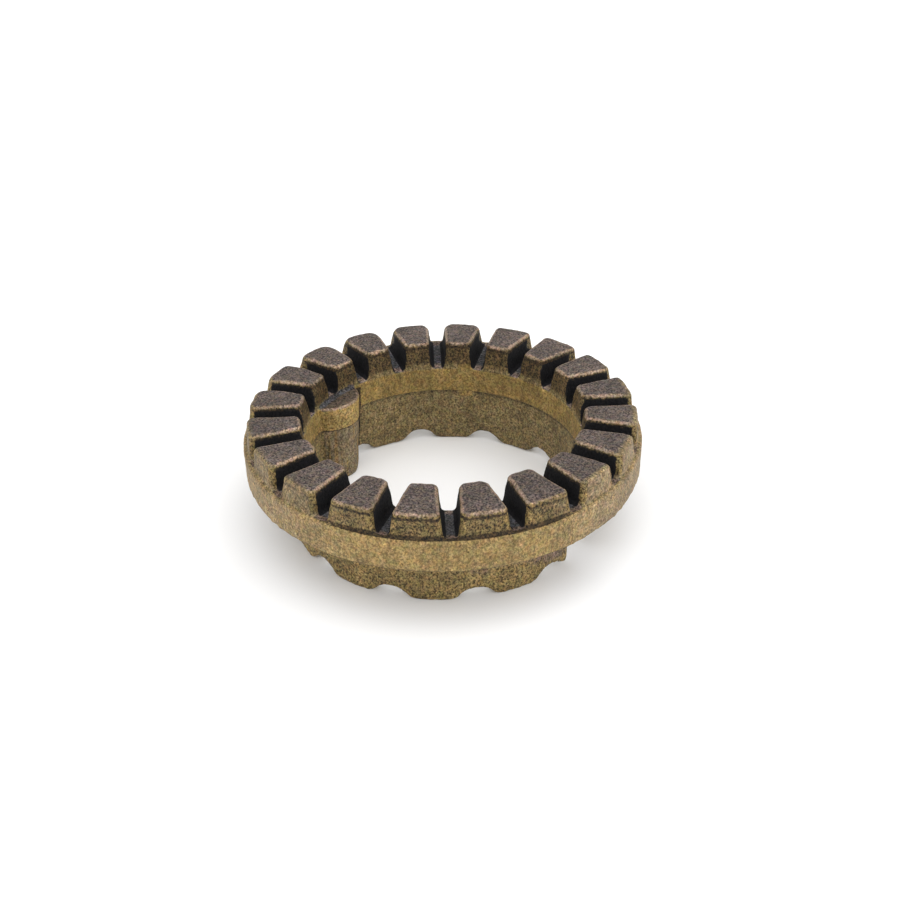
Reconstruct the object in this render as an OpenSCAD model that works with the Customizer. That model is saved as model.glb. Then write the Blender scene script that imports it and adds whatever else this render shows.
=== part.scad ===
// Gas burner ring: one brass casting, a crown of teeth on a flange with a notched skirt under it.
// Origin at the middle of the ring, on the plane that the skirt's feet stand on, +Z up through the crown.

/* [Ring] */
// Overall height, from the feet to the tooth tops
ring_h = 16.9; // [16.2:0.1:20]
// Outside diameter of the flange
flange_d = 55; // [54:0.5:64]
// Thickness of the flange, from its underside to the ledge round its top
flange_h = 4.75; // [3.5:0.05:5.5]

/* [Skirt] */
// Height of the skirt, from the feet to the underside of the flange
skirt_h = 8.9; // [6:0.1:9.2]
// Outside diameter of the skirt, which drops into the burner cup
skirt_d = 43.2; // [38:0.2:47]
// Thickness of the skirt's wall at the feet
skirt_wall = 1.8; // [1.2:0.1:2.6]
// Draft of the skirt's bore, which widens towards the feet
skirt_draft = 3.2; // [0:0.2:4]
// How far the trimmed band in the bore stands in over the skirt's bore below it
band_step = 0.1; // [0.05:0.05:0.3]

/* [Crown] */
// Number of flame slots, which is also the number of teeth
slot_count = 20; // [12:1:24]
// Width of a slot across its floor, between the sharp corners
slot_floor_w = 1.85; // [1.4:0.05:2.4]
// How far the slot floor lies below the ledge where it meets the bore
slot_drop = 1; // [0:0.05:2]
// Angle at which the slot floor climbs towards the outside
slot_rise = 6.5; // [0:0.5:9]
// Draft of each slot wall
slot_draft = 5.5; // [0:0.5:7]
// Radius along both sides of the slot floor
slot_fillet = 0.65; // [0.2:0.05:0.65]
// Width of the ledge between the flange's rim and the foot of the teeth
ledge_w = 0.6; // [0.5:0.1:2]
// Draft of the teeth, outside and towards the bore
tooth_draft = 4.5; // [0:0.5:8]
// Rounding of the tooth tops
tooth_edge = 0.5; // [0.2:0.05:0.8]

/* [Skirt notches] */
// Number of notches in the foot of the skirt
notch_count = 12; // [6:1:14]
// Depth of a notch, from the feet up
notch_h = 1.65; // [1:0.05:2.5]
// Width of a notch at the feet, between the sharp corners
notch_w = 5.3; // [4:0.1:6.2]
// Lean of the notch's sides away from upright
notch_lean = 38; // [15:1:45]
// Rounding of the notch's corners
notch_edge = 0.8; // [0.2:0.1:0.9]

/* [Skirt gap] */
// Width of the gap that parts the skirt opposite the boss
gap_w = 4.6; // [3:0.1:5.2]
// Rounding of the skirt's ends at the foot of the gap
gap_edge = 0.9; // [0.2:0.1:1.5]

/* [Boss] */
// Diameter of the boss at its top
boss_d = 9.1; // [7:0.1:11]
// How far the boss's axis lies outside the wall of the bore
boss_set = 1.2; // [0:0.1:2]
// Draft of the boss, which is narrower at its foot
boss_draft = 3.2; // [0:0.2:5]

/* [Edges] */
// Rounding of the flange's lower rim
rim_round = 0.7; // [0.2:0.1:1.5]
// Rounding of the small outside edges
edge_round = 0.3; // [0.2:0.05:0.6]
// Fillet in the inside corners
root_fillet = 0.4; // [0.2:0.05:0.6]

/* [Hidden] */
$fn = 96;
// Steps of each rounded corner
arc_steps = 4;
// How far a cut runs past the face that it starts from
overcut = 2;
// How deep the boss is rooted in the ring's wall
boss_root = 0.3;
brass = [0.47, 0.38, 0.24];

flange_r = flange_d / 2;
skirt_r = skirt_d / 2;
skirt_foot_bore_r = skirt_r - skirt_wall;
skirt_bore_r = skirt_foot_bore_r - skirt_h * tan(skirt_draft);
bore_r = skirt_bore_r - band_step;
flange_top = skirt_h + flange_h;
slot_floor_z = flange_top - slot_drop;
tooth_foot_r = flange_r - ledge_w;
tooth_top_r = tooth_foot_r - (ring_h - flange_top) * tan(tooth_draft);
bore_top_r = bore_r + (ring_h - slot_floor_z) * tan(tooth_draft);
boss_r = boss_d / 2;
boss_reach = bore_r + boss_set;

function direction(v) = v / norm(v);

// Points along the rounding of corner b, between its neighbours a and c; b holds x, y and the radius
function rounded_corner(a, b, c) =
    let (at = [b[0], b[1]],
         to_a = direction([a[0], a[1]] - at),
         to_c = direction([c[0], c[1]] - at),
         half = acos(to_a * to_c) / 2,
         centre = at + direction(to_a + to_c) * b[2] / sin(half),
         start = at + to_a * b[2] / tan(half) - centre,
         stop = at + to_c * b[2] / tan(half) - centre,
         turn = (start[0] * stop[1] - start[1] * stop[0] > 0 ? 1 : -1) * (180 - 2 * half),
         first = atan2(start[1], start[0]))
    b[2] == 0 ? [at] :
    [for (i = [0 : arc_steps])
        centre + b[2] * [cos(first + turn * i / arc_steps), sin(first + turn * i / arc_steps)]];

// Outline through a list of corners, each with x, y and the radius that rounds it
function rounded_outline(corners) =
    let (n = len(corners))
    [for (i = [0 : n - 1])
        each rounded_corner(corners[(i + n - 1) % n], corners[i], corners[(i + 1) % n])];

// Section of the ring, with the distance from its axis across and the height up
module ring_section() {
    polygon(rounded_outline([
        [skirt_foot_bore_r, 0, edge_round],
        [skirt_r, 0, edge_round],
        [skirt_r, skirt_h, root_fillet],
        [flange_r, skirt_h, rim_round],
        [flange_r, flange_top, edge_round],
        [tooth_foot_r, flange_top, root_fillet / 2],
        [tooth_top_r, ring_h, tooth_edge],
        [bore_top_r, ring_h, tooth_edge],
        [bore_r, slot_floor_z, 0],
        [bore_r, skirt_h, 0],
        [skirt_bore_r, skirt_h, 0]
    ]));
}

// Drafted slot with a round-cornered floor, cut from the bore out through the crown, along +X
module flame_slot() {
    open_h = ring_h - slot_floor_z + overcut;
    open_w = slot_floor_w + 2 * open_h * tan(slot_draft);
    translate([bore_r, 0, slot_floor_z])
        rotate([0, -slot_rise, 0])
            translate([-overcut, 0, 0])
                rotate([90, 0, 90])
                    linear_extrude(height = flange_r - bore_r + 2 * overcut)
                        polygon(rounded_outline([
                            [-slot_floor_w / 2, 0, slot_fillet],
                            [slot_floor_w / 2, 0, slot_fillet],
                            [open_w / 2, open_h, 0],
                            [-open_w / 2, open_h, 0]
                        ]));
}

// Notch with leaning sides, cut through the foot of the skirt along +X
module skirt_notch() {
    roof_w = notch_w - 2 * notch_h * tan(notch_lean);
    translate([skirt_bore_r - overcut, 0, 0])
        rotate([90, 0, 90])
            linear_extrude(height = skirt_r - skirt_bore_r + 2 * overcut)
                polygon(rounded_outline([
                    [-notch_w / 2 - overcut, -overcut, 0],
                    [notch_w / 2 + overcut, -overcut, 0],
                    [notch_w / 2 + overcut, 0, 0],
                    [notch_w / 2, 0, notch_edge],
                    [roof_w / 2, notch_h, notch_edge],
                    [-roof_w / 2, notch_h, notch_edge],
                    [-notch_w / 2, 0, notch_edge],
                    [-notch_w / 2 - overcut, 0, 0]
                ]));
}

// Gap with upright sides that parts the skirt along +X, from the feet to the fillet under the flange
module skirt_gap() {
    gap_h = skirt_h - root_fillet;
    translate([bore_r - overcut, 0, 0])
        rotate([90, 0, 90])
            linear_extrude(height = skirt_r - bore_r + 2 * overcut)
                polygon(rounded_outline([
                    [-gap_w / 2 - overcut, -overcut, 0],
                    [gap_w / 2 + overcut, -overcut, 0],
                    [gap_w / 2 + overcut, 0, 0],
                    [gap_w / 2, 0, gap_edge],
                    [gap_w / 2, gap_h, root_fillet],
                    [-gap_w / 2, gap_h, root_fillet],
                    [-gap_w / 2, 0, gap_edge],
                    [-gap_w / 2 - overcut, 0, 0]
                ]));
}

// Half-round boss inside the bore, level with the slot floor at its top, standing to the feet
module boss() {
    foot_r = boss_r - slot_floor_z * tan(boss_draft);
    intersection() {
        translate([-boss_reach, 0, 0])
            rotate_extrude()
                polygon(rounded_outline([
                    [0, 0, 0],
                    [foot_r, 0, edge_round],
                    [boss_r, slot_floor_z, edge_round],
                    [0, slot_floor_z, 0]
                ]));
        cylinder(r = skirt_foot_bore_r + boss_root, h = ring_h);
    }
}

// The casting: a slot lies in line with the boss, and the skirt has a foot under it
module burner_ring() {
    color(brass)
        union() {
            difference() {
                rotate_extrude()
                    ring_section();
                for (i = [0 : slot_count - 1])
                    rotate([0, 0, 180 + i * 360 / slot_count])
                        flame_slot();
                for (i = [0 : notch_count - 1])
                    rotate([0, 0, 180 + (i + 0.5) * 360 / notch_count])
                        skirt_notch();
                skirt_gap();
            }
            boss();
        }
}

burner_ring();
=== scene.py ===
"""Gas burner ring, dressed for rendering: the brass casting, the floor under it, studio light and camera."""

import bpy
import numpy as np
from mathutils import Matrix


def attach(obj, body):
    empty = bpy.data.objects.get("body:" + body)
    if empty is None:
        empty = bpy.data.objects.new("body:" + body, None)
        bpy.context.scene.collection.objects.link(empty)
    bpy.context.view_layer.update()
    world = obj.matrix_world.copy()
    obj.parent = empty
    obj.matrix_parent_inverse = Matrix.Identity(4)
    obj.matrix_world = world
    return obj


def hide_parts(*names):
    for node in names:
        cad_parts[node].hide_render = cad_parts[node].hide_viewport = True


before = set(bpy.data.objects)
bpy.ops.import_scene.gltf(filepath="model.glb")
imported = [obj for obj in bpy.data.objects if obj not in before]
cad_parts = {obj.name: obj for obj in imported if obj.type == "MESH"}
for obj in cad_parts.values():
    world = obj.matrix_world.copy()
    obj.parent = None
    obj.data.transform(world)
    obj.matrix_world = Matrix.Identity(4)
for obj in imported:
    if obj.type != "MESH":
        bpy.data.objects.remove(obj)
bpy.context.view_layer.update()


# The burner ring. One brass casting: a crown of twenty teeth with flame slots between them, a plain
# flange, and a notched skirt that drops into the burner cup. It is cast in one piece with the boss inside
# its bore, and only the band at the top of the bore has been trimmed bright. All sizes are in millimetres.
def lean_of(degrees):
    """Sideways run per millimetre of height of a face that leans away from upright by an angle."""
    return np.tan(np.radians(degrees))


RING_H = 16.9
FLANGE_R = 27.5
FLANGE_H = 4.75
LEDGE_W = 0.6
TOOTH_DRAFT = lean_of(4.5)
SKIRT_H = 8.9
SKIRT_R = 21.6
SKIRT_WALL = 1.8
SKIRT_DRAFT = lean_of(3.2)
BAND_STEP = 0.1
FLANGE_TOP = SKIRT_H + FLANGE_H
TOOTH_FOOT_R = FLANGE_R - LEDGE_W
FOOT_BORE_R = SKIRT_R - SKIRT_WALL
SKIRT_BORE_R = FOOT_BORE_R - SKIRT_H * SKIRT_DRAFT
BORE_R = SKIRT_BORE_R - BAND_STEP

SLOT_COUNT = 20
SLOT_HALF = 0.925
SLOT_DROP = 1.0
SLOT_Z = FLANGE_TOP - SLOT_DROP
SLOT_RISE = lean_of(6.5)
SLOT_DRAFT = lean_of(5.5)

NOTCH_COUNT = 12
NOTCH_H = 1.65
NOTCH_HALF = 2.65
NOTCH_LEAN = lean_of(38)
GAP_HALF = 2.3
GAP_DRAFT = 0.02
GAP_ROOF = 8.5

# The skirt's two ends beside the gap are stubs. Their flanks are shallower than a notch's, and they end above
# the feet, the one on the +Y side higher than the other.
STUB_HALF = 3.2
STUB_LEAN = 1.57
STUB_LIFT = 0.45
SHORT_STUB_LIFT = 1.3

BOSS_R = 4.55
BOSS_SET = 1.2
BOSS_REACH = BORE_R + BOSS_SET
BOSS_ROOT_R = 20.1
BOSS_DRAFT = lean_of(3.2)
BOSS_TRIM = 0.09

# The teeth came out rounder on the boss's part of the ring, and stand a little further out there.
BOSS_PART_TURN = np.radians(160)
BOSS_PART_OUT = 0.25

# Radii of the roundings and of the fillets in the corners.
TOP_EDGE, ROUNDER_TOP_EDGE = 0.45, 0.8
FLANGE_EDGE, FLANGE_FOOT_EDGE = 0.3, 0.65
BAND_EDGE = 0.05
SLOT_FILLET, LEDGE_FILLET = 0.6, 0.15
NOTCH_EDGE, FOOT_EDGE = 0.9, 0.8
GAP_EDGE = 0.4
SKIRT_EDGE, CHEEK_EDGE = 0.2, 0.3
SKIRT_ROOT = 0.3
SKIRT_FILLET, BAND_FILLET = 0.42, 0.02
BOSS_TOP_EDGE, BOSS_FOOT_EDGE = 0.42, 0.25
BOSS_FILLET, BOSS_TOP_FILLET = 0.3, 0.04


def ease(x, low, high):
    """Smooth step: 0 up to low, 1 from high on, and a cubic with level ends between them."""
    t = np.clip((x - low) / (high - low), 0, 1)
    return t * t * (3 - 2 * t)


def fade(x, start, stop):
    """Smooth step down: 1 up to start, 0 from stop on."""
    return ease(-x, -stop, -start)


def meet(a, b, r):
    """Distance to what two solids share: the larger of both distances, with an arc of radius r at the edge."""
    u, v = a + r, b + r
    return np.minimum(np.maximum(u, v), 0) + np.hypot(np.maximum(u, 0), np.maximum(v, 0)) - r


def join(a, b, r):
    """Distance to two solids together: the smaller of both, with a fillet of radius r in the corner."""
    return -meet(-a, -b, r)


def nearest_side(x, y, count, first):
    """Distance sideways from the centre line of the nearest of count cuts, the first one at angle first."""
    angle = np.arctan2(y, x) - first
    step = 2 * np.pi / count
    return np.abs(np.hypot(x, y) * np.sin(angle - np.round(angle / step) * step))


def bore_side(z):
    """Radius of the teeth's bore side at a height; the straight band of the bore below them."""
    return BORE_R + np.maximum(z - SLOT_Z, 0) * TOOTH_DRAFT


def outer_side(z):
    """Radius of the teeth's outer side at a height."""
    return TOOTH_FOOT_R - (z - FLANGE_TOP) * TOOTH_DRAFT


def floor_at(r):
    """Height of the slot floor at a radius."""
    return SLOT_Z + (r - BORE_R) * SLOT_RISE


def bore_wall(z):
    """Radius of the skirt's bore at a height."""
    return FOOT_BORE_R - z * SKIRT_DRAFT


def slot_wall(r, z):
    """Distance sideways from a slot's centre line to its wall, at a radius and a height."""
    return SLOT_HALF + (z - floor_at(r)) * SLOT_DRAFT


def post_side(x, y, z):
    """Distance sideways from the boss's drafted outline, below 0 inside it."""
    return np.hypot(x + BOSS_REACH, y) - BOSS_R + (SLOT_Z - z) * BOSS_DRAFT


def boss_part(x, y):
    """How far a point belongs to the boss's part of the ring, from 0 to 1 round the ring."""
    return ease(np.cos(np.arctan2(y, x) - BOSS_PART_TURN), 0.4, 0.9)


def outer_corner(x, y, z):
    """Rounding of the teeth's upright outer corners: more towards the top, with waves round the ring."""
    angle = np.arctan2(y, x)
    waves = 0.1 * np.sin(7 * angle + 0.6) + 0.08 * np.sin(13 * angle)
    at_foot = 0.5 + waves * 0.8 + 0.25 * boss_part(x, y)
    more_at_top = 0.36 + waves + 0.6 * boss_part(x, y)
    return at_foot + more_at_top * ease(z, 14, 16.6)


def bore_corner(x, y, z):
    """Rounding of the teeth's corners at the bore: small at the slot floor, and worn rounder at the top."""
    angle = np.arctan2(y, x)
    return 0.38 + (0.55 + 0.15 * np.sin(9 * angle + 2)) * ease(z, 14.6, 16.7)


def casting(p):
    """Distance in millimetres from each point to the skin of the casting, below 0 inside it.

    The teeth are what the slot walls, the outer cone and the top plane share; the deck below them ends at
    the sloping slot floor; the bore trims both. The skirt is a drafted tube with the notches and the gap
    taken from its foot and its two ends lifted off the feet's plane. The boss is a drafted post with its
    back cut off behind the bore's wall."""
    x, y, z = p
    r = np.hypot(x, y)
    from_slot = nearest_side(x, y, SLOT_COUNT, 0)
    reach = r - outer_side(z) - BOSS_PART_OUT * boss_part(x, y)
    tooth = meet(slot_wall(r, z) - from_slot, reach, outer_corner(x, y, z))
    deck = meet(z - floor_at(r), r - FLANGE_R, FLANGE_EDGE)
    on_ledge = ease(r, 26.2, 26.8) * ease(from_slot, 1.1, 1.5)
    crown = join(tooth, deck, SLOT_FILLET + (LEDGE_FILLET - SLOT_FILLET) * on_ledge)
    crown = meet(crown, bore_side(z) - r, bore_corner(x, y, z))
    rounder = boss_part(x, y) * ease(r, 24, 25.5)
    crown = meet(crown, z - RING_H, TOP_EDGE + (ROUNDER_TOP_EDGE - TOP_EDGE) * rounder)
    crown = meet(crown, SKIRT_H - z, BAND_EDGE + (FLANGE_FOOT_EDGE - BAND_EDGE) * ease(r, 20, 21))

    side = nearest_side(x, y, NOTCH_COUNT, np.pi / NOTCH_COUNT)
    flank = (side - NOTCH_HALF + z * NOTCH_LEAN) / np.hypot(1, NOTCH_LEAN)
    stub_flank = (side - STUB_HALF + z * STUB_LEAN) / np.hypot(1, STUB_LEAN)
    from_gap = np.abs(np.arctan2(y, x))
    flank = flank + fade(from_gap, 0.2, 0.29) * np.maximum(stub_flank - flank, 0)
    lift = np.where(y > 0, SHORT_STUB_LIFT, STUB_LIFT) * fade(from_gap, 0.17, 0.24)
    foot = meet(lift - z, -meet(z - NOTCH_H, flank, NOTCH_EDGE), FOOT_EDGE)
    gap = meet(np.abs(y) - GAP_HALF + z * GAP_DRAFT, z - GAP_ROOF, GAP_EDGE)
    foot = meet(foot, -np.where(x > 0, gap, FLANGE_R), FOOT_EDGE)
    skirt = meet(meet(r - SKIRT_R, bore_wall(z) - r, SKIRT_EDGE), foot, CHEEK_EDGE)
    skirt = np.maximum(skirt, z - SKIRT_H - SKIRT_ROOT)
    body = join(crown, skirt, BAND_FILLET + (SKIRT_FILLET - BAND_FILLET) * ease(r, 20.2, 20.9))

    post = post_side(x, y, z) + BOSS_TRIM * ease(SKIRT_H - z, -0.03, 0.03)
    post = meet(meet(post, z - SLOT_Z, BOSS_TOP_EDGE), -z, BOSS_FOOT_EDGE)
    post = np.maximum(post, r - BOSS_ROOT_R)
    return join(body, post, BOSS_FILLET + (BOSS_TOP_FILLET - BOSS_FILLET) * ease(z, 11.4, 12.3))


def slope(p):
    """Slope of the distance at each point, from its change over two steps along X, Y and Z."""
    step = 0.002
    sides = [np.array(v).reshape(3, 1, 1) * step for v in ((1, 0, 0), (0, 1, 0), (0, 0, 1))]
    return np.stack([(casting(p + s) - casting(p - s)) / (2 * step) for s in sides])


def settle(p, times):
    """Moves each point down the slope of the distance, a number of times, until it lies on the skin."""
    for _ in range(times):
        g = slope(p)
        p = p - np.clip(casting(p) / np.maximum((g * g).sum(0), 0.3), -0.35, 0.35) * g
    return p


# The net's columns run round the ring. The crown's pattern repeats with each slot: half of the slot's floor,
# its wall, and half of the tooth.
COLUMNS = 1280
COLUMN = np.arange(COLUMNS)
PITCH = COLUMNS // SLOT_COUNT
HALF_PITCH = PITCH // 2
FLOOR_END, WALL_END = 6, 19
HALF_ANGLE = np.pi / SLOT_COUNT


def spread(first, last, dense):
    """Values from 0 to 1 over the columns first to last, drawn towards both ends as dense goes up to 1."""
    t = np.linspace(0, 1, last - first + 1)
    return np.arange(first, last + 1), t * (1 - dense) + dense * (1 - np.cos(np.pi * t)) / 2


slot_sign = np.where(COLUMN % PITCH < HALF_PITCH, 1, -1)
in_pitch = np.minimum(COLUMN % PITCH, PITCH - COLUMN % PITCH)
slot_angle = 2 * HALF_ANGLE * ((COLUMN + HALF_PITCH) // PITCH)
floor_part = np.clip(in_pitch / FLOOR_END, 0, 1)
wall_part = np.interp(in_pitch, *spread(FLOOR_END, WALL_END, 0.6))
top_part = np.interp(in_pitch, *spread(WALL_END, HALF_PITCH, 0.3))


def crown_row(tooth_r, tooth_z, floor_r):
    """One row of the crown: a point of the tooth's section, one of the slot floor, and the wall between."""
    r = floor_r + (tooth_r - floor_r) * wall_part
    z = floor_at(floor_r) + (tooth_z - floor_at(floor_r)) * wall_part
    half = SLOT_HALF + np.maximum(z - floor_at(r), 0) * SLOT_DRAFT
    edge = np.arcsin(half / r)
    angle = slot_angle + slot_sign * (edge * floor_part + (HALF_ANGLE - edge) * top_part)
    return r * np.cos(angle), r * np.sin(angle), z


FLAT_FLOOR, FLAT_WALL = 0.86, 1.5


def plain_turn(r):
    """Angles of the columns where no slot is cut: the same pattern, its wall's columns laid out flat."""
    marks = [0, np.arcsin(FLAT_FLOOR / r), np.arcsin(FLAT_WALL / r), HALF_ANGLE]
    return slot_angle + slot_sign * np.interp(in_pitch, [0, FLOOR_END, WALL_END, HALF_PITCH], marks)


# The skirt's columns, worked out on one half of the ring: half of the gap's roof, its cheek, and then the
# outline of the foot, in equal steps along it, for which its heights count more than its widths.
fold = np.minimum(COLUMN, COLUMNS - COLUMN)
fold_sign = np.where(COLUMN <= COLUMNS // 2, 1, -1)
ROOF_END, CHEEK_END, CHEEK_FADE = 6, 22, 60
HEIGHT_COUNTS = 1.6
roof_part = np.clip(fold / ROOF_END, 0, 1)
cheek_part = np.interp(fold, *spread(ROOF_END, CHEEK_END, 0.6))
gap_angle = np.arcsin(GAP_HALF / SKIRT_R)
fine_angle = np.linspace(gap_angle, np.pi, 6000)
fine_x, fine_y = SKIRT_R * np.cos(fine_angle), SKIRT_R * np.sin(fine_angle)
fine_side = nearest_side(fine_x, fine_y, NOTCH_COUNT, np.pi / NOTCH_COUNT)
fine_foot = np.clip((NOTCH_HALF - fine_side) / NOTCH_LEAN, 0, NOTCH_H)
fine_step = np.hypot(SKIRT_R * np.diff(fine_angle), HEIGHT_COUNTS * np.diff(fine_foot))
length = np.concatenate([[0], np.cumsum(fine_step)])
along = np.interp(fold, [CHEEK_END, COLUMNS // 2], [0, length[-1]])
foot_z = np.interp(along, length, fine_foot)
roof_turn = np.interp(fold, [0, ROOF_END, CHEEK_END], [0, 0.78 * gap_angle, gap_angle])
skirt_turn = np.where(fold < CHEEK_END, roof_turn, np.interp(along, length, fine_angle))

# The boss stands opposite the gap: columns within its span follow its outline, and those beside it close up
# to its root.
BOSS_SPAN, BOSS_BESIDE = np.radians(12.2), np.radians(8)
from_boss = np.pi - skirt_turn
on_boss = from_boss <= BOSS_SPAN


def polar(r, turn):
    """Points at radius r, a turn away from +X to either side of the ring."""
    return r * np.cos(turn), fold_sign * r * np.sin(turn)


def bore_row(wall_r, z):
    """One row inside the bore: round the wall, and round the boss's half circle where that stands in it."""
    post_r = BOSS_R - (SLOT_Z - z) * BOSS_DRAFT
    root = np.arccos((BOSS_REACH ** 2 + wall_r ** 2 - post_r ** 2) / (2 * BOSS_REACH * wall_r))
    turn = np.arctan2(wall_r * np.sin(root), BOSS_REACH - wall_r * np.cos(root)) * from_boss / BOSS_SPAN
    beside = np.clip((from_boss - BOSS_SPAN) / BOSS_BESIDE, 0, 1)
    angle = root + beside * (BOSS_SPAN + BOSS_BESIDE - root)
    angle = np.where(beside < 1, angle, from_boss)
    x = np.where(on_boss, post_r * np.cos(turn) - BOSS_REACH, -wall_r * np.cos(angle))
    return x, fold_sign * np.where(on_boss, post_r * np.sin(turn), wall_r * np.sin(angle))


def skirt_row(x, y, z, roof_r):
    """One row of the skirt: its own point, one of the gap's roof at radius roof_r, and the cheek between."""
    r = np.hypot(x, y)
    turn_in = fade(fold, CHEEK_END, CHEEK_FADE) * (np.arcsin(GAP_HALF / r) - gap_angle)
    angle = np.arctan2(np.abs(y), x) + turn_in
    r = roof_r + (r - roof_r) * cheek_part
    side = GAP_HALF * roof_part
    in_gap = fold < CHEEK_END
    x = np.where(in_gap, np.sqrt(r * r - side * side), r * np.cos(angle))
    y = fold_sign * np.where(in_gap, side, r * np.sin(angle))
    return x, y, GAP_ROOF + (z - GAP_ROOF) * cheek_part


# The net's rows run round the section: up the inside of the skirt, up the bore and over the boss, over the
# crown, down the flange and the outside of the skirt, and back under the foot.
rows, slack = [], []


def lay(row, give):
    """Adds a row to the net, with the share by which it may later be evened out between its neighbours."""
    rows.append(np.array(np.broadcast_arrays(*row), dtype=float))
    slack.append(give)


inner_foot = np.where(on_boss, 0, foot_z)
for share, roof_r in ((1, 20.15), (0.95, 20.05), (0.85, 19.9), (0.62, 19.75), (0.36, 19.65), (0.13, 19.55),
                      (0.04, 19.45)):
    z = GAP_ROOF - (GAP_ROOF - inner_foot) * share
    lay(skirt_row(*bore_row(bore_wall(z), z), z, roof_r), 0.3 if share > 0.9 else 0)
for z, r in ((8.72, bore_wall(8.72)), (8.88, SKIRT_BORE_R), (8.93, BORE_R), (9.1, BORE_R)):
    lay((*bore_row(r, z), z), 0)

# On the boss these rows turn over its rim and run across its top to the bore's line; beside it they go up
# the band.
BAND_START, RIM_START, BAND_STOP = 9.1, 10.9, 12.2
seat_angle = plain_turn(BORE_R)
seat_x, seat_y = BORE_R * np.cos(seat_angle), BORE_R * np.sin(seat_angle)
seat_z = BAND_STOP + (SLOT_Z - BAND_STOP) * ease(BOSS_SPAN - from_boss, -0.01, 0.02)
rim_x, rim_y = bore_row(BORE_R, SLOT_Z)
across = np.where(on_boss, np.hypot(rim_x - seat_x, rim_y - seat_y), 0)
turn_z = RIM_START + (seat_z - RIM_START) * ease(across, 0.1, 1.6)
for share in (0.3, 0.6, 0.85, 1):
    z = BAND_START + (turn_z - BAND_START) * share
    lay((*bore_row(BORE_R, z), z), 0)
for share in (0.07, 0.15, 0.25, 0.4, 0.58, 0.76, 0.9, 1):
    gone = share * (seat_z - turn_z + across)
    z = np.minimum(turn_z + gone, seat_z)
    over_top = np.clip((gone - seat_z + turn_z) / np.maximum(across, 1e-6), 0, 1)
    over = np.where(on_boss, over_top, ease(share, 0, 1))
    x, y = bore_row(BORE_R, z)
    x, y = np.where(on_boss & (over > 0), rim_x, x), np.where(on_boss & (over > 0), rim_y, y)
    lay((x + (seat_x - x) * over, y + (seat_y - y) * over, z), 0.4 if share > 0.5 else 0)

for z, floor_r in ((12.92, 19.24), (13.3, 19.42), (14.05, 19.7), (15.0, 20.0), (15.8, 20.3), (16.3, 20.55),
                   (16.65, 20.8), (16.9, 21.0)):
    lay(crown_row(bore_side(z), z, floor_r), 0.4)
for r, floor_r in ((19.75, 21.2), (20.1, 21.45), (20.8, 21.85), (21.9, 22.5), (23.1, 23.1), (24.3, 23.8),
                   (25.3, 24.5), (25.9, 25.0), (26.2, 25.3), (26.42, 25.55)):
    lay(crown_row(r, RING_H, floor_r), 0.4)
for z, floor_r in ((16.9, 25.75), (16.6, 25.9), (16.25, 26.05), (15.7, 26.2), (15.0, 26.38), (14.4, 26.55),
                   (14.0, 26.7), (13.75, 26.83)):
    lay(crown_row(outer_side(z), z, floor_r), 0.4)

# Down the flange's rim the crown's pattern gives way to the skirt's, by the share given with each row.
crown_turn = np.abs((plain_turn(27) + np.pi) % (2 * np.pi) - np.pi)
crown_turn = np.where(COLUMN == COLUMNS // 2, np.pi, crown_turn)
for r, z in ((27.0, 13.58), (27.2, 13.58), (27.42, 13.52), (27.5, 13.28)):
    lay((*polar(r, crown_turn), z), 0.25 if r < 27.1 else 0)
for z, share in ((12.6, 0.15), (11.8, 0.4), (11.0, 0.65), (10.2, 0.9), (9.55, 1)):
    lay((*polar(FLANGE_R, crown_turn + (skirt_turn - crown_turn) * share), z), 0)
for r, z in ((27.4, 9.15), (27.15, 8.95), (26.7, 8.9), (24.6, 8.9), (22.4, 8.9), (21.95, 8.87), (21.68, 8.65)):
    lay((*polar(r, skirt_turn), z), 0)

for share, roof_r in ((0.03, 21.5), (0.12, 21.45), (0.36, 21.35), (0.62, 21.28), (0.85, 21.2), (0.95, 21.1),
                      (1, 21.0)):
    z = GAP_ROOF - (GAP_ROOF - foot_z) * share
    lay(skirt_row(*polar(SKIRT_R, skirt_turn), z, roof_r), 0.3 if share > 0.9 else 0)
outer_x, outer_y = polar(SKIRT_R, skirt_turn)
inner_x, inner_y = bore_row(bore_wall(inner_foot), inner_foot)
for share, roof_r in ((0.13, 20.85), (0.38, 20.65), (0.65, 20.45), (0.88, 20.3)):
    x, y = outer_x + (inner_x - outer_x) * share, outer_y + (inner_y - outer_y) * share
    lay(skirt_row(x, y, foot_z + (inner_foot - foot_z) * share, roof_r), 0.3)

# The net is drawn onto the skin, then evened out and drawn on again, so that its faces stay even at the edges.
net = settle(np.stack(rows, axis=1), 7)
slack = np.array(slack).reshape(-1, 1)
for _ in range(4):
    beside = np.roll(net, 1, axis=1) + np.roll(net, -1, axis=1)
    beside = beside + np.roll(net, 1, axis=2) + np.roll(net, -1, axis=2)
    net = settle(net + slack * (beside / 4 - net), 3)


def ripple(p, size, seed, waves=11):
    """Sum of sine waves through the points, about size across, each in its own direction; mostly -1 to 1."""
    draw = np.random.default_rng(seed)
    aim = draw.normal(size=(waves, 3))
    aim /= np.linalg.norm(aim, axis=1, keepdims=True)
    pace = 2 * np.pi / (size * draw.uniform(0.6, 1.6, waves))
    phase = draw.uniform(0, 2 * np.pi, waves)
    turns = np.tensordot(aim * pace[:, None], p, axes=(1, 0)) + phase.reshape(-1, 1, 1)
    return np.sin(turns).sum(0) / np.sqrt(waves * 2)


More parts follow.
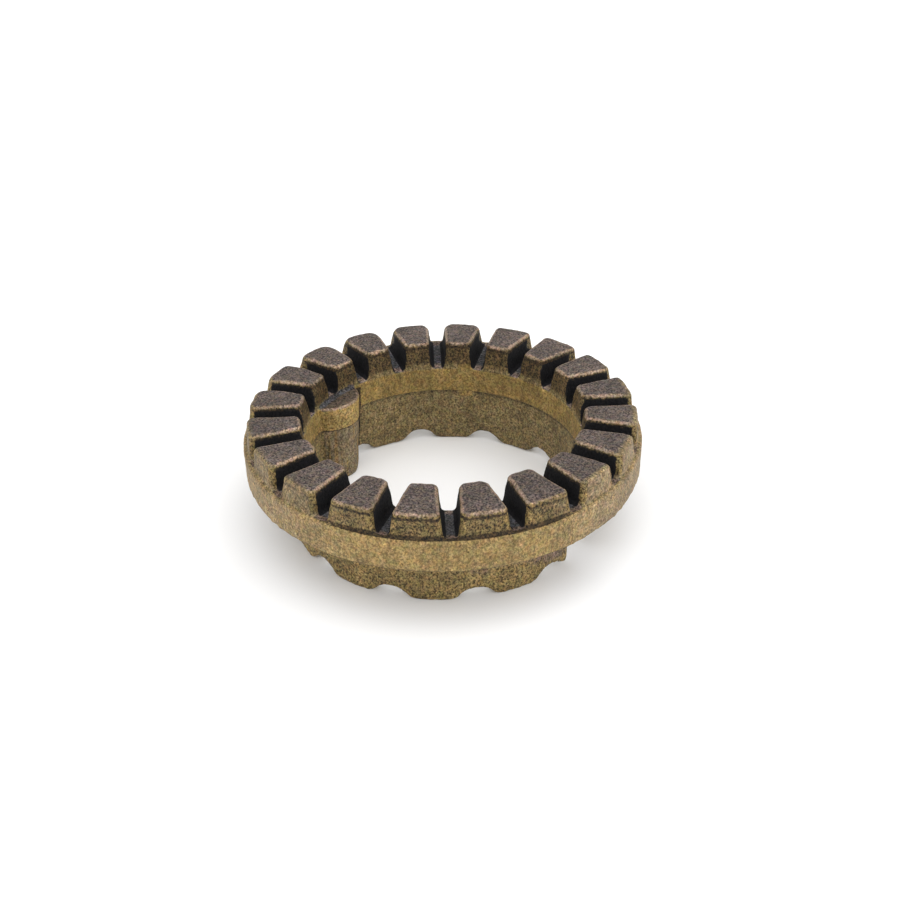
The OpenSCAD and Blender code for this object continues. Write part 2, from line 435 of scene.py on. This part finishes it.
# Sand left its grain on everything but the trimmed band. It lies a little deeper on the tops, the rim and
# the feet, so that none of it stands out past the true size.
facing = slope(net)
facing /= np.maximum(np.linalg.norm(facing, axis=0), 0.05)
radius, height = np.hypot(net[0], net[1]), net[2]
trimmed = ease(height, 8.88, 8.95) * fade(height, 12.3, 12.9) * fade(radius, 19.25, 19.5)
near_top = ease(height, RING_H - 0.4, RING_H - 0.1)
near_rim = ease(radius, FLANGE_R - 0.4, FLANGE_R - 0.1)
near_foot = fade(height, 0.1, 0.4)
proud = np.maximum.reduce([near_top, near_rim, near_foot])
grain = 0.025 * ripple(net, 6, 3) + 0.03 * ripple(net, 2.4, 4) + 0.032 * ripple(net, 1.1, 5) + 0.035 * proud
net = net - facing * grain * (1 - 0.8 * trimmed)
net[:2] *= np.minimum(1, FLANGE_R / np.hypot(net[0], net[1]))
net[2] = np.clip(net[2], 0, RING_H)
radius, height = np.hypot(net[0], net[1]), net[2]

# Where each finish lies, from 0 to 1 at every point of the net. It goes by the way that a face looks, how far
# it lies from a slot's wall, how deep below the tops, and where round the ring.
across_slot = np.abs(facing[0] * net[1] - facing[1] * net[0]) / radius
outward = (facing[0] * net[0] + facing[1] * net[1]) / radius
upward = facing[2]
upright = fade(upward, 0.3, 0.6)
slot_gap = nearest_side(net[0], net[1], SLOT_COUNT, 0) - slot_wall(radius, height)
depth = RING_H - height
round_ring = np.arctan2(net[1], net[0])
on_crown = ease(height, 12.3, 12.8) * fade(radius, 26.8, 27.1)

# Two stretches, midway between the boss and the gap, are left darker; elsewhere the ring is painted paler,
# as light falling on its sides. This painted light also thins the soot, the patina and the edges there.
DARK_STRETCH_TURN = np.radians(-54)
from_dark_stretch = np.abs((round_ring - DARK_STRETCH_TURN + np.pi) % (2 * np.pi) - np.pi)
painted_light_part = (0.72 + 0.14 * np.cos(round_ring)) * ease(from_dark_stretch, 0.15, 0.9) * fade(from_dark_stretch, 1.9, 2.3)

# Soot covers the slot walls, from the bore as far as their rounded outer corners, and thins out at the tops.
wall_turn = np.maximum(0.12 + 0.5 * ease(height, 13.2, 16.0),
                       0.85 * ease(radius, 25.6, 26.3) * ease(height, 13.4, 14))
soot_end = 26.8 - 1.4 * ease(from_dark_stretch, 1.9, 2.3) * ease(height, 13.6, 15.2)
# On the sides the soot stops shorter, as part of the painted light.
soot_end -= painted_light_part * (0.35 + 0.25 * fade(height, 13.8, 14.6))
soot = ease(across_slot - wall_turn, 0, 0.3) * ease(radius, 19.2, 19.6) * ease(soot_end - radius, 0, 0.45)
soot *= on_crown * (0.55 + 0.45 * ease(depth, 0.1, 0.9))

# The slot floors are grey, browner at the mouth and lighter at the lip of the bore.
slot_floor = ease(upward, 0.5, 0.85) * fade(slot_gap, -0.1, 0.1) * on_crown * fade(height, 14, 15)
slot_mouth = slot_floor * ease(radius, 25.0, 26.6)
slot_lip = slot_floor * fade(radius, 19.9, 21.6)

# A brown patina covers the tops of the teeth, whose edges are worn to brighter metal. Their upright outer
# corners are rubbed golden, and so are the slot walls just under the tops.
tops = ease(upward, 0.6, 0.92) * ease(height, RING_H - 0.6, RING_H - 0.2)
# On the sides the patina and the worn edges are thinner, as part of the painted light.
tops *= 1 - 0.7 * painted_light_part * ease(radius, 25.0, 26.5)
side_gap = np.minimum(np.abs(slot_gap), np.abs(outer_side(height) - radius))
side_gap = np.minimum(side_gap, np.abs(radius - bore_side(height)))
top_edge = fade(np.hypot(side_gap * 0.75, depth * 0.85), 0.12, 0.58) * ease(height, 15.5, 16)
top_edge *= 1 - 0.7 * painted_light_part * ease(radius, 25.3, 26.3)
corner_edge = fade(np.hypot(slot_gap - 0.15, outer_side(height) - radius - 0.1), 0.45, 0.8)
corner_edge *= ease(height, 13.7, 14.3) * upright
under_edge = 0.62 * ease(across_slot, 0.5, 0.9) * fade(depth, 0.4, 0.9) * on_crown
corner_edge = np.maximum(corner_edge, under_edge)

# The teeth's sides, with a thin dark line under their worn edges, fainter where the sides are painted lighter,
# and painted shade in the ledge at their foot on one stretch.
tooth_side = fade(upward, 0.5, 0.8) * ease(height, 13.5, 13.9)
bore_face = ease(-outward, 0.4, 0.8) * ease(height, 12.3, 14.2)
edge_line = fade(np.abs(height - 16.24), 0.08, 0.34) * upright * (1 - 0.7 * painted_light_part)
ledge = fade(np.hypot(radius - 27.0, height - 13.7), 0.2, 0.5) * (1 - 0.92 * ease(from_dark_stretch, 0.4, 0.8))

# The boss: patina on its top, a worn edge round it, streaks down its body, and painted shade as a dark line
# under its trimmed band and in the hidden corner on one side of it. The slot floor runs out over it as its
# seat.
post_gap = post_side(net[0], net[1], height)
on_post = fade(np.abs(post_gap), 0.3, 0.5) * fade(radius, 18.9, 19.1) * (net[0] < 0)
boss_top = ease(upward, 0.5, 0.9) * ease(height, 12.2, 12.5) * fade(radius, 19.1, 19.4)
boss_edge = fade(np.hypot(post_gap, SLOT_Z - height), 0.15, 0.8) * fade(radius, 18.9, 19.3)
boss_body = on_post * fade(height, 8.8, 8.85)
UPRIGHT_STREAKS = np.array([1, 1, 0.1]).reshape(3, 1, 1)
boss_streak = boss_body * ease(ripple(net * UPRIGHT_STREAKS, 1.1, 8), 0.1, 0.6)
# The trimmed band on the boss is painted lighter than the rest of the band, as lit.
boss_band_lit = trimmed * fade(radius, 18.8, 19.1)
band_shade_line = on_post * fade(np.abs(height - 8.87), 0.06, 0.2)
boss_corner_shade = fade(np.abs(post_gap), 0.95, 1.25) * ease(radius, 18.9, 19.1) * fade(radius, 19.8, 19.9)
boss_corner_shade *= ease(net[1], 0, 1) * (net[0] < 0) * fade(height, 12, 12.4)
seat = fade(np.abs(np.abs(round_ring) - np.pi), 0.19, 0.24) * fade(np.abs(radius - BORE_R), 0.3, 0.9)
seat *= ease(height, 12.25, 12.6) * fade(height, 12.9, 13.6)

# The trimming ran down into the skirt's bore in one place. Elsewhere shade is painted under the edge of the
# band.
DRIP_TURN = np.radians(113.5)
drip = fade(np.abs(round_ring - DRIP_TURN) * BORE_R, 0.7, 1.5) * ease(height, 7.9, 8.3)
shade_under_band = ease(height, 7.6, 8.85) * fade(height, 8.9, 8.95) * fade(radius, 20, 20.3) * (1 - drip)
trimmed = np.maximum(trimmed, drip * fade(radius, 19.5, 19.8))

# The flange's rim, painted shade on its underside, and the outside of the skirt, with painted shade on its top
# below the flange on one stretch.
rim = ease(radius, 26.95, 27.25) * fade(height, 13.5, 13.75) * ease(height, 8.8, 9.4)
# The teeth's outer faces and the rim are painted lighter on the sides, as lit there.
painted_light_side = ease(radius, 24.7, 25.7) * (1 - tops) * ease(height, 13.4, 13.8)
painted_light = painted_light_part * np.maximum(painted_light_side, 0.9 * rim)
rim_underside_shade = ease(radius, 21.7, 22.4) * fade(height, 8.95, 9.25)
skirt_side = ease(radius, 20.9, 21.2) * fade(height, 8.7, 8.9)
skirt_top_shade = skirt_side * ease(height - 2.2 * ease(-round_ring, 0.15, 0.6), 0.9, 2.5)
skirt_top_shade *= ease(round_ring, -1.0, -0.7) * ease(-round_ring, -0.1, 0.1)

# Soot and the underside of the flange take the shine off the brass.
dull = np.maximum(ease(radius, 21.7, 22.4) * fade(height, 9.2, 9.7), 0.9 * soot)
masks = {"soot": soot, "slot_floor": slot_floor, "slot_mouth": slot_mouth, "slot_lip": slot_lip,
         "patina": np.maximum(tops, boss_top), "boss_top": boss_top, "worn": np.maximum(top_edge, boss_edge),
         "corner_edge": corner_edge, "tooth_side": tooth_side, "bore_face": bore_face,
         "edge_line": np.maximum.reduce([edge_line, band_shade_line, boss_corner_shade]), "ledge": ledge,
         "boss_body": boss_body, "boss_streak": boss_streak, "boss_band_lit": boss_band_lit, "seat": seat,
         "trimmed": trimmed, "shade_under_band": shade_under_band, "rim": rim, "painted_light": painted_light, "rim_underside_shade": rim_underside_shade,
         "skirt_side": skirt_side, "skirt_top_shade": skirt_top_shade, "dull": dull}

ring_mesh = bpy.data.meshes.new("burner_ring_casting")
corner = np.arange(net.shape[1] * COLUMNS).reshape(-1, COLUMNS)
next_row = np.roll(corner, -1, axis=0)
quads = np.stack([corner, next_row, np.roll(next_row, -1, axis=1), np.roll(corner, -1, axis=1)], axis=-1)
points = net.transpose(1, 2, 0).reshape(-1, 3) * 0.001
ring_mesh.from_pydata(points, [], quads.reshape(-1, 4).tolist())
for name, values in masks.items():
    ring_mesh.attributes.new(name, "FLOAT", "POINT").data.foreach_set("value", values.reshape(-1))
ring_mesh.shade_smooth()
ring = bpy.data.objects.new("burner_ring_casting", ring_mesh)
bpy.context.scene.collection.objects.link(ring)

# Each coat has its mask, the colours of its dark and light grains, how ragged its edge is, and where in the
# mask it starts and is full. The bare casting comes first, and each coat lies over those before it.
BARE_DARK, BARE_LIGHT = (0.06, 0.045, 0.02), (0.375, 0.275, 0.121)
# The first coat is painted shade on the skirt's bore under the trimmed band.
COATS = (("shade_under_band", (0.01, 0.008, 0.004), (0.13, 0.1, 0.045), 0.7, 0.4, 1.3),
         ("boss_body", (0.09, 0.07, 0.045), (0.4, 0.306, 0.172), 0.5, 0.2, 0.8),
         ("boss_streak", (0.08, 0.052, 0.022), (0.47, 0.315, 0.135), 0.7, 0.4, 1.0),
         ("skirt_side", (0.03, 0.021, 0.008), (0.42, 0.295, 0.112), 0.4, 0.2, 0.8),
         # painted shade on the flange's underside
         ("rim_underside_shade", (0.02, 0.012, 0.008), (0.15, 0.1, 0.06), 0.6, 0.1, 1.0),
         ("rim", (0.145, 0.098, 0.035), (0.435, 0.303, 0.118), 0.7, 0.2, 0.9),
         # painted shade on the skirt below the flange
         ("skirt_top_shade", (0.04, 0.028, 0.02), (0.27, 0.19, 0.13), 1.0, 0.3, 1.1),
         ("tooth_side", (0.008, 0.005, 0.002), (0.285, 0.2, 0.079), 0.4, 0.3, 0.8),
         ("trimmed", (0.14, 0.092, 0.028), (0.42, 0.284, 0.094), 0.3, 0.3, 0.7),
         # the boss's trimmed band, painted lighter as lit
         ("boss_band_lit", (0.16, 0.105, 0.036), (0.63, 0.438, 0.158), 0.6, 0.3, 0.8),
         ("bore_face", (0.005, 0.003, 0.001), (0.168, 0.111, 0.045), 0.7, 0.2, 1.0),
         ("slot_floor", (0.0, 0.0, 0.0), (0.135, 0.13, 0.134), 0.5, 0.3, 0.7),
         ("slot_mouth", (0.0, 0.0, 0.0), (0.27, 0.185, 0.135), 0.8, 0.3, 0.9),
         ("slot_lip", (0.015, 0.009, 0.009), (0.42, 0.3, 0.225), 0.9, 0.35, 1.05),
         ("patina", (0.009, 0.005, 0.007), (0.186, 0.142, 0.115), 0.6, 0.3, 0.7),
         ("boss_top", (0.01, 0.006, 0.004), (0.19, 0.136, 0.092), 0.8, 0.3, 0.8),
         ("seat", (0.0, 0.0, 0.0), (0.138, 0.13, 0.135), 1.2, 0.3, 0.9),
         # painted light on the sides
         ("painted_light", (0.11, 0.08, 0.045), (0.4, 0.292, 0.162), 0.6, 0.1, 1.0),
         ("soot", (0.0, 0.0, 0.001), (0.009, 0.008, 0.009), 1.0, 0.3, 0.8),
         ("corner_edge", (0.03, 0.018, 0.006), (0.37, 0.26, 0.1), 1.4, 0.35, 0.9),
         # painted shade in the ledge at the teeth's foot
         ("ledge", (0.0, 0.0, 0.0), (0.09, 0.056, 0.022), 1.1, 0.3, 0.8),
         # the dark line coat also carries the painted shade under the boss's band and in its corner
         ("edge_line", (0.0, 0.0, 0.0), (0.08, 0.05, 0.022), 1.3, 0.3, 0.85),
         ("worn", (0.14, 0.094, 0.062), (0.45, 0.322, 0.228), 1.4, 0.48, 1.0))

cast_brass = bpy.data.materials.new("cast_brass")
cast_brass.use_nodes = True
tree = cast_brass.node_tree
shader = tree.nodes["Principled BSDF"]


def add_node(kind, sockets, **settings):
    """Adds a node, with its settings, and fills each named or numbered socket with a value or an output."""
    made = tree.nodes.new(kind)
    for name, value in settings.items():
        setattr(made, name, value)
    for socket, value in sockets.items():
        if isinstance(value, bpy.types.NodeSocket):
            tree.links.new(value, made.inputs[socket])
        else:
            made.inputs[socket].default_value = value
    return made


object_place = add_node("ShaderNodeTexCoord", {}).outputs["Object"]


def mottle(size, detail=2, squash=(1, 1, 1), shift=0, give="Fac"):
    """Noise from 0 to 1 with patches of a size in millimetres, squashed along X, Y and Z."""
    scale = [1000 * s / size for s in squash]
    place = add_node("ShaderNodeMapping", {"Vector": object_place, "Location": (shift, shift * 0.7, -shift),
                                           "Scale": scale}, vector_type="POINT")
    return add_node("ShaderNodeTexNoise", {"Vector": place.outputs[0], "Scale": 1.0, "Detail": detail,
                                           "Roughness": 0.6}).outputs[give]


def range_of(value, low, high, start=0.0, stop=1.0):
    """Value taken from the range low to high into start to stop, eased at both ends, and held there."""
    sockets = {"Value": value, "From Min": low, "From Max": high, "To Min": start, "To Max": stop}
    return add_node("ShaderNodeMapRange", sockets, interpolation_type="SMOOTHSTEP").outputs["Result"]


def combine(operation, a, b):
    """Sum, difference, product or larger of two values."""
    return add_node("ShaderNodeMath", {0: a, 1: b}, operation=operation).outputs[0]


def mask_of(name):
    """The mask of that name, as it lies on the net."""
    return add_node("ShaderNodeAttribute", {}, attribute_name=name).outputs["Fac"]


def ragged(name, rough, low, high):
    """The mask of that name with a ragged edge: noise, rough times as strong, is added before the cut."""
    noise = combine("MULTIPLY", combine("SUBTRACT", rough_grain, 0.5), rough)
    return range_of(combine("ADD", mask_of(name), noise), low, high)


def over(under, colour, share):
    """Colour laid over another by a share, which may be a map."""
    sockets = {"Factor": share, "A": under, "B": colour}
    return add_node("ShaderNodeMix", sockets, data_type="RGBA").outputs[2]


def scaled(colour, share):
    """Colour made lighter or darker by a share, which may be a map."""
    return add_node("ShaderNodeVectorMath", {0: colour, "Scale": share}, operation="SCALE").outputs[0]


SAND_SQUASH, STREAK_SQUASH = (1, 1, 0.85), (1, 1, 0.2)
rough_grain = mottle(0.45, 3)
fine_grain = mottle(0.28, 2, squash=SAND_SQUASH, shift=7)
dust = mottle(0.15, 1, squash=SAND_SQUASH, shift=29)
grains = combine("ADD", combine("MULTIPLY", fine_grain, 0.65), combine("MULTIPLY", dust, 0.35))
grains = range_of(grains, 0.35, 0.65)

colour = over((*BARE_DARK, 1), (*BARE_LIGHT, 1), grains)
for name, dark, light, rough, low, high in COATS:
    colour = over(colour, over((*dark, 1), (*light, 1), grains), ragged(name, rough, low, high))

# Clouds, pits, bright specks and upright scoring vary the brightness, and each grain has a hue of its own.
clouds = range_of(mottle(5, 3, shift=3), 0.3, 0.7, 0.76, 1.02)
pits = range_of(mottle(0.75, 2, shift=19), 0.25, 0.32, 0.4, 1)
specks = range_of(mottle(0.5, 1, shift=41), 0.68, 0.74, 1, 1.7)
scoring = range_of(mottle(0.5, 2, squash=STREAK_SQUASH, shift=5), 0.3, 0.7, 0.86, 1.14)
patches = range_of(mottle(1.8, 3, shift=23), 0.3, 0.7, 0.84, 1.14)
for shade in (clouds, pits, specks, combine("MULTIPLY", scoring, patches)):
    colour = scaled(colour, shade)
HUE_GRAIN = (0.6, 0.22, 0.75)
hue_grain = mottle(0.8, 2, shift=11, give="Color")
hue = add_node("ShaderNodeVectorMath", {0: hue_grain, 1: HUE_GRAIN, 2: [1 - h / 2 for h in HUE_GRAIN]},
               operation="MULTIPLY_ADD").outputs[0]
colour = add_node("ShaderNodeVectorMath", {0: colour, 1: hue}, operation="MULTIPLY").outputs[0]
tree.links.new(colour, shader.inputs["Base Color"])

# Worn metal shines a little more than the skin of the casting, and dull places not at all.
bare_metal = ragged("worn", 1.0, 0.4, 1.0)
dull_skin = mask_of("dull")
metal = combine("MULTIPLY", range_of(bare_metal, 0, 1, 0.2, 0.6), combine("SUBTRACT", 1, dull_skin))
roughness = combine("MAXIMUM", range_of(bare_metal, 0, 1, 0.62, 0.42), dull_skin)
tree.links.new(metal, shader.inputs["Metallic"])
tree.links.new(roughness, shader.inputs["Roughness"])
shader.inputs["Specular IOR Level"].default_value = 0.3
grain_height = combine("ADD", rough_grain, fine_grain)
bump = add_node("ShaderNodeBump", {"Height": grain_height, "Distance": 0.00012, "Strength": 0.7})
tree.links.new(bump.outputs[0], shader.inputs["Normal"])
ring_mesh.materials.append(cast_brass)

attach(ring, "root")
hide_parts("burner_ring")


# The floor: a wide sheet of white studio paper that lies flat under the feet of the ring. It belongs to the
# picture and not to the piece.
FLOOR_HALF = 1.2
floor_corners = [(-FLOOR_HALF, -FLOOR_HALF, 0), (FLOOR_HALF, -FLOOR_HALF, 0), (FLOOR_HALF, FLOOR_HALF, 0),
                 (-FLOOR_HALF, FLOOR_HALF, 0)]
floor_mesh = bpy.data.meshes.new("studio_floor")
floor_mesh.from_pydata(floor_corners, [], [(0, 1, 2, 3)])
floor = bpy.data.objects.new("studio_floor", floor_mesh)
bpy.context.scene.collection.objects.link(floor)
paper = bpy.data.materials.new("white_paper")
paper.use_nodes = True
paper_shader = paper.node_tree.nodes["Principled BSDF"]
paper_shader.inputs["Base Color"].default_value = (0.93, 0.93, 0.93, 1)
paper_shader.inputs["Roughness"].default_value = 0.95
floor_mesh.materials.append(paper)


# Studio light: a white surround and two very wide, soft lights, the key high on the right of the camera and
# a weaker one low on its left. The plain view transform keeps the paper white.
VIEW_TURN = np.radians(34.48)
# Each light's name, its turn to the right of the camera, its height, both in degrees, and its power.
SOFT_LIGHTS = (("key_light", 58, 55, 2.0), ("left_light", -78, 26, 0.95))
LIGHT_WIDTH = np.radians(100)
SURROUND_POWER = 0.8
world = bpy.data.worlds.new("studio")
world.use_nodes = True
surround = world.node_tree.nodes["Background"]
surround.inputs["Color"].default_value = (1, 1, 1, 1)
surround.inputs["Strength"].default_value = SURROUND_POWER
bpy.context.scene.world = world
bpy.context.scene.view_settings.view_transform = "Standard"
for name, turn, lift, power in SOFT_LIGHTS:
    soft = bpy.data.lights.new(name, "SUN")
    soft.energy = power
    soft.angle = LIGHT_WIDTH
    soft_light = bpy.data.objects.new(name, soft)
    soft_light.rotation_euler = (np.pi / 2 - np.radians(lift), 0, np.radians(turn) + VIEW_TURN)
    bpy.context.scene.collection.objects.link(soft_light)


# Camera: where the photograph was taken from, solved from the rims, the slots and the notches. Lengths are
# in metres and angles in radians; the focal length is in the photograph's pixels.
CAMERA_REACH = 0.166665
CAMERA_LIFT = 0.5916
CAMERA_YAW, CAMERA_PITCH, CAMERA_ROLL = 0.0060, -0.0448, 0.0213
AIM_Z = 0.000925
FOCAL_PIXELS, IMAGE_PIXELS = 1148.88, 900
SENSOR_MM = 36


def turn_about(axis, angle):
    """Turning matrix about X, Y or Z, numbered 0, 1 and 2."""
    m = np.eye(3)
    i, j = (axis + 1) % 3, (axis + 2) % 3
    m[i, i] = m[j, j] = np.cos(angle)
    m[j, i], m[i, j] = np.sin(angle), -np.sin(angle)
    return m


camera_place = CAMERA_REACH * np.array([0, -np.cos(CAMERA_LIFT), np.sin(CAMERA_LIFT)])
ahead = -camera_place / CAMERA_REACH
level = np.array([[1, 0, 0], np.cross([1, 0, 0], ahead), -ahead])
look = turn_about(2, CAMERA_ROLL) @ turn_about(0, CAMERA_PITCH) @ turn_about(1, CAMERA_YAW) @ level
view_turn = turn_about(2, VIEW_TURN)
camera_pose = np.eye(4)
camera_pose[:3, :3] = view_turn @ look.T
camera_pose[:3, 3] = view_turn @ camera_place + np.array([0, 0, AIM_Z])
camera_data = bpy.data.cameras.new("photo_camera")
camera_data.sensor_width = SENSOR_MM
camera_data.lens = FOCAL_PIXELS / IMAGE_PIXELS * SENSOR_MM
camera_data.clip_start = 0.01
camera = bpy.data.objects.new("photo_camera", camera_data)
camera.matrix_world = Matrix(camera_pose.tolist())
bpy.context.scene.collection.objects.link(camera)
bpy.context.scene.camera = camera
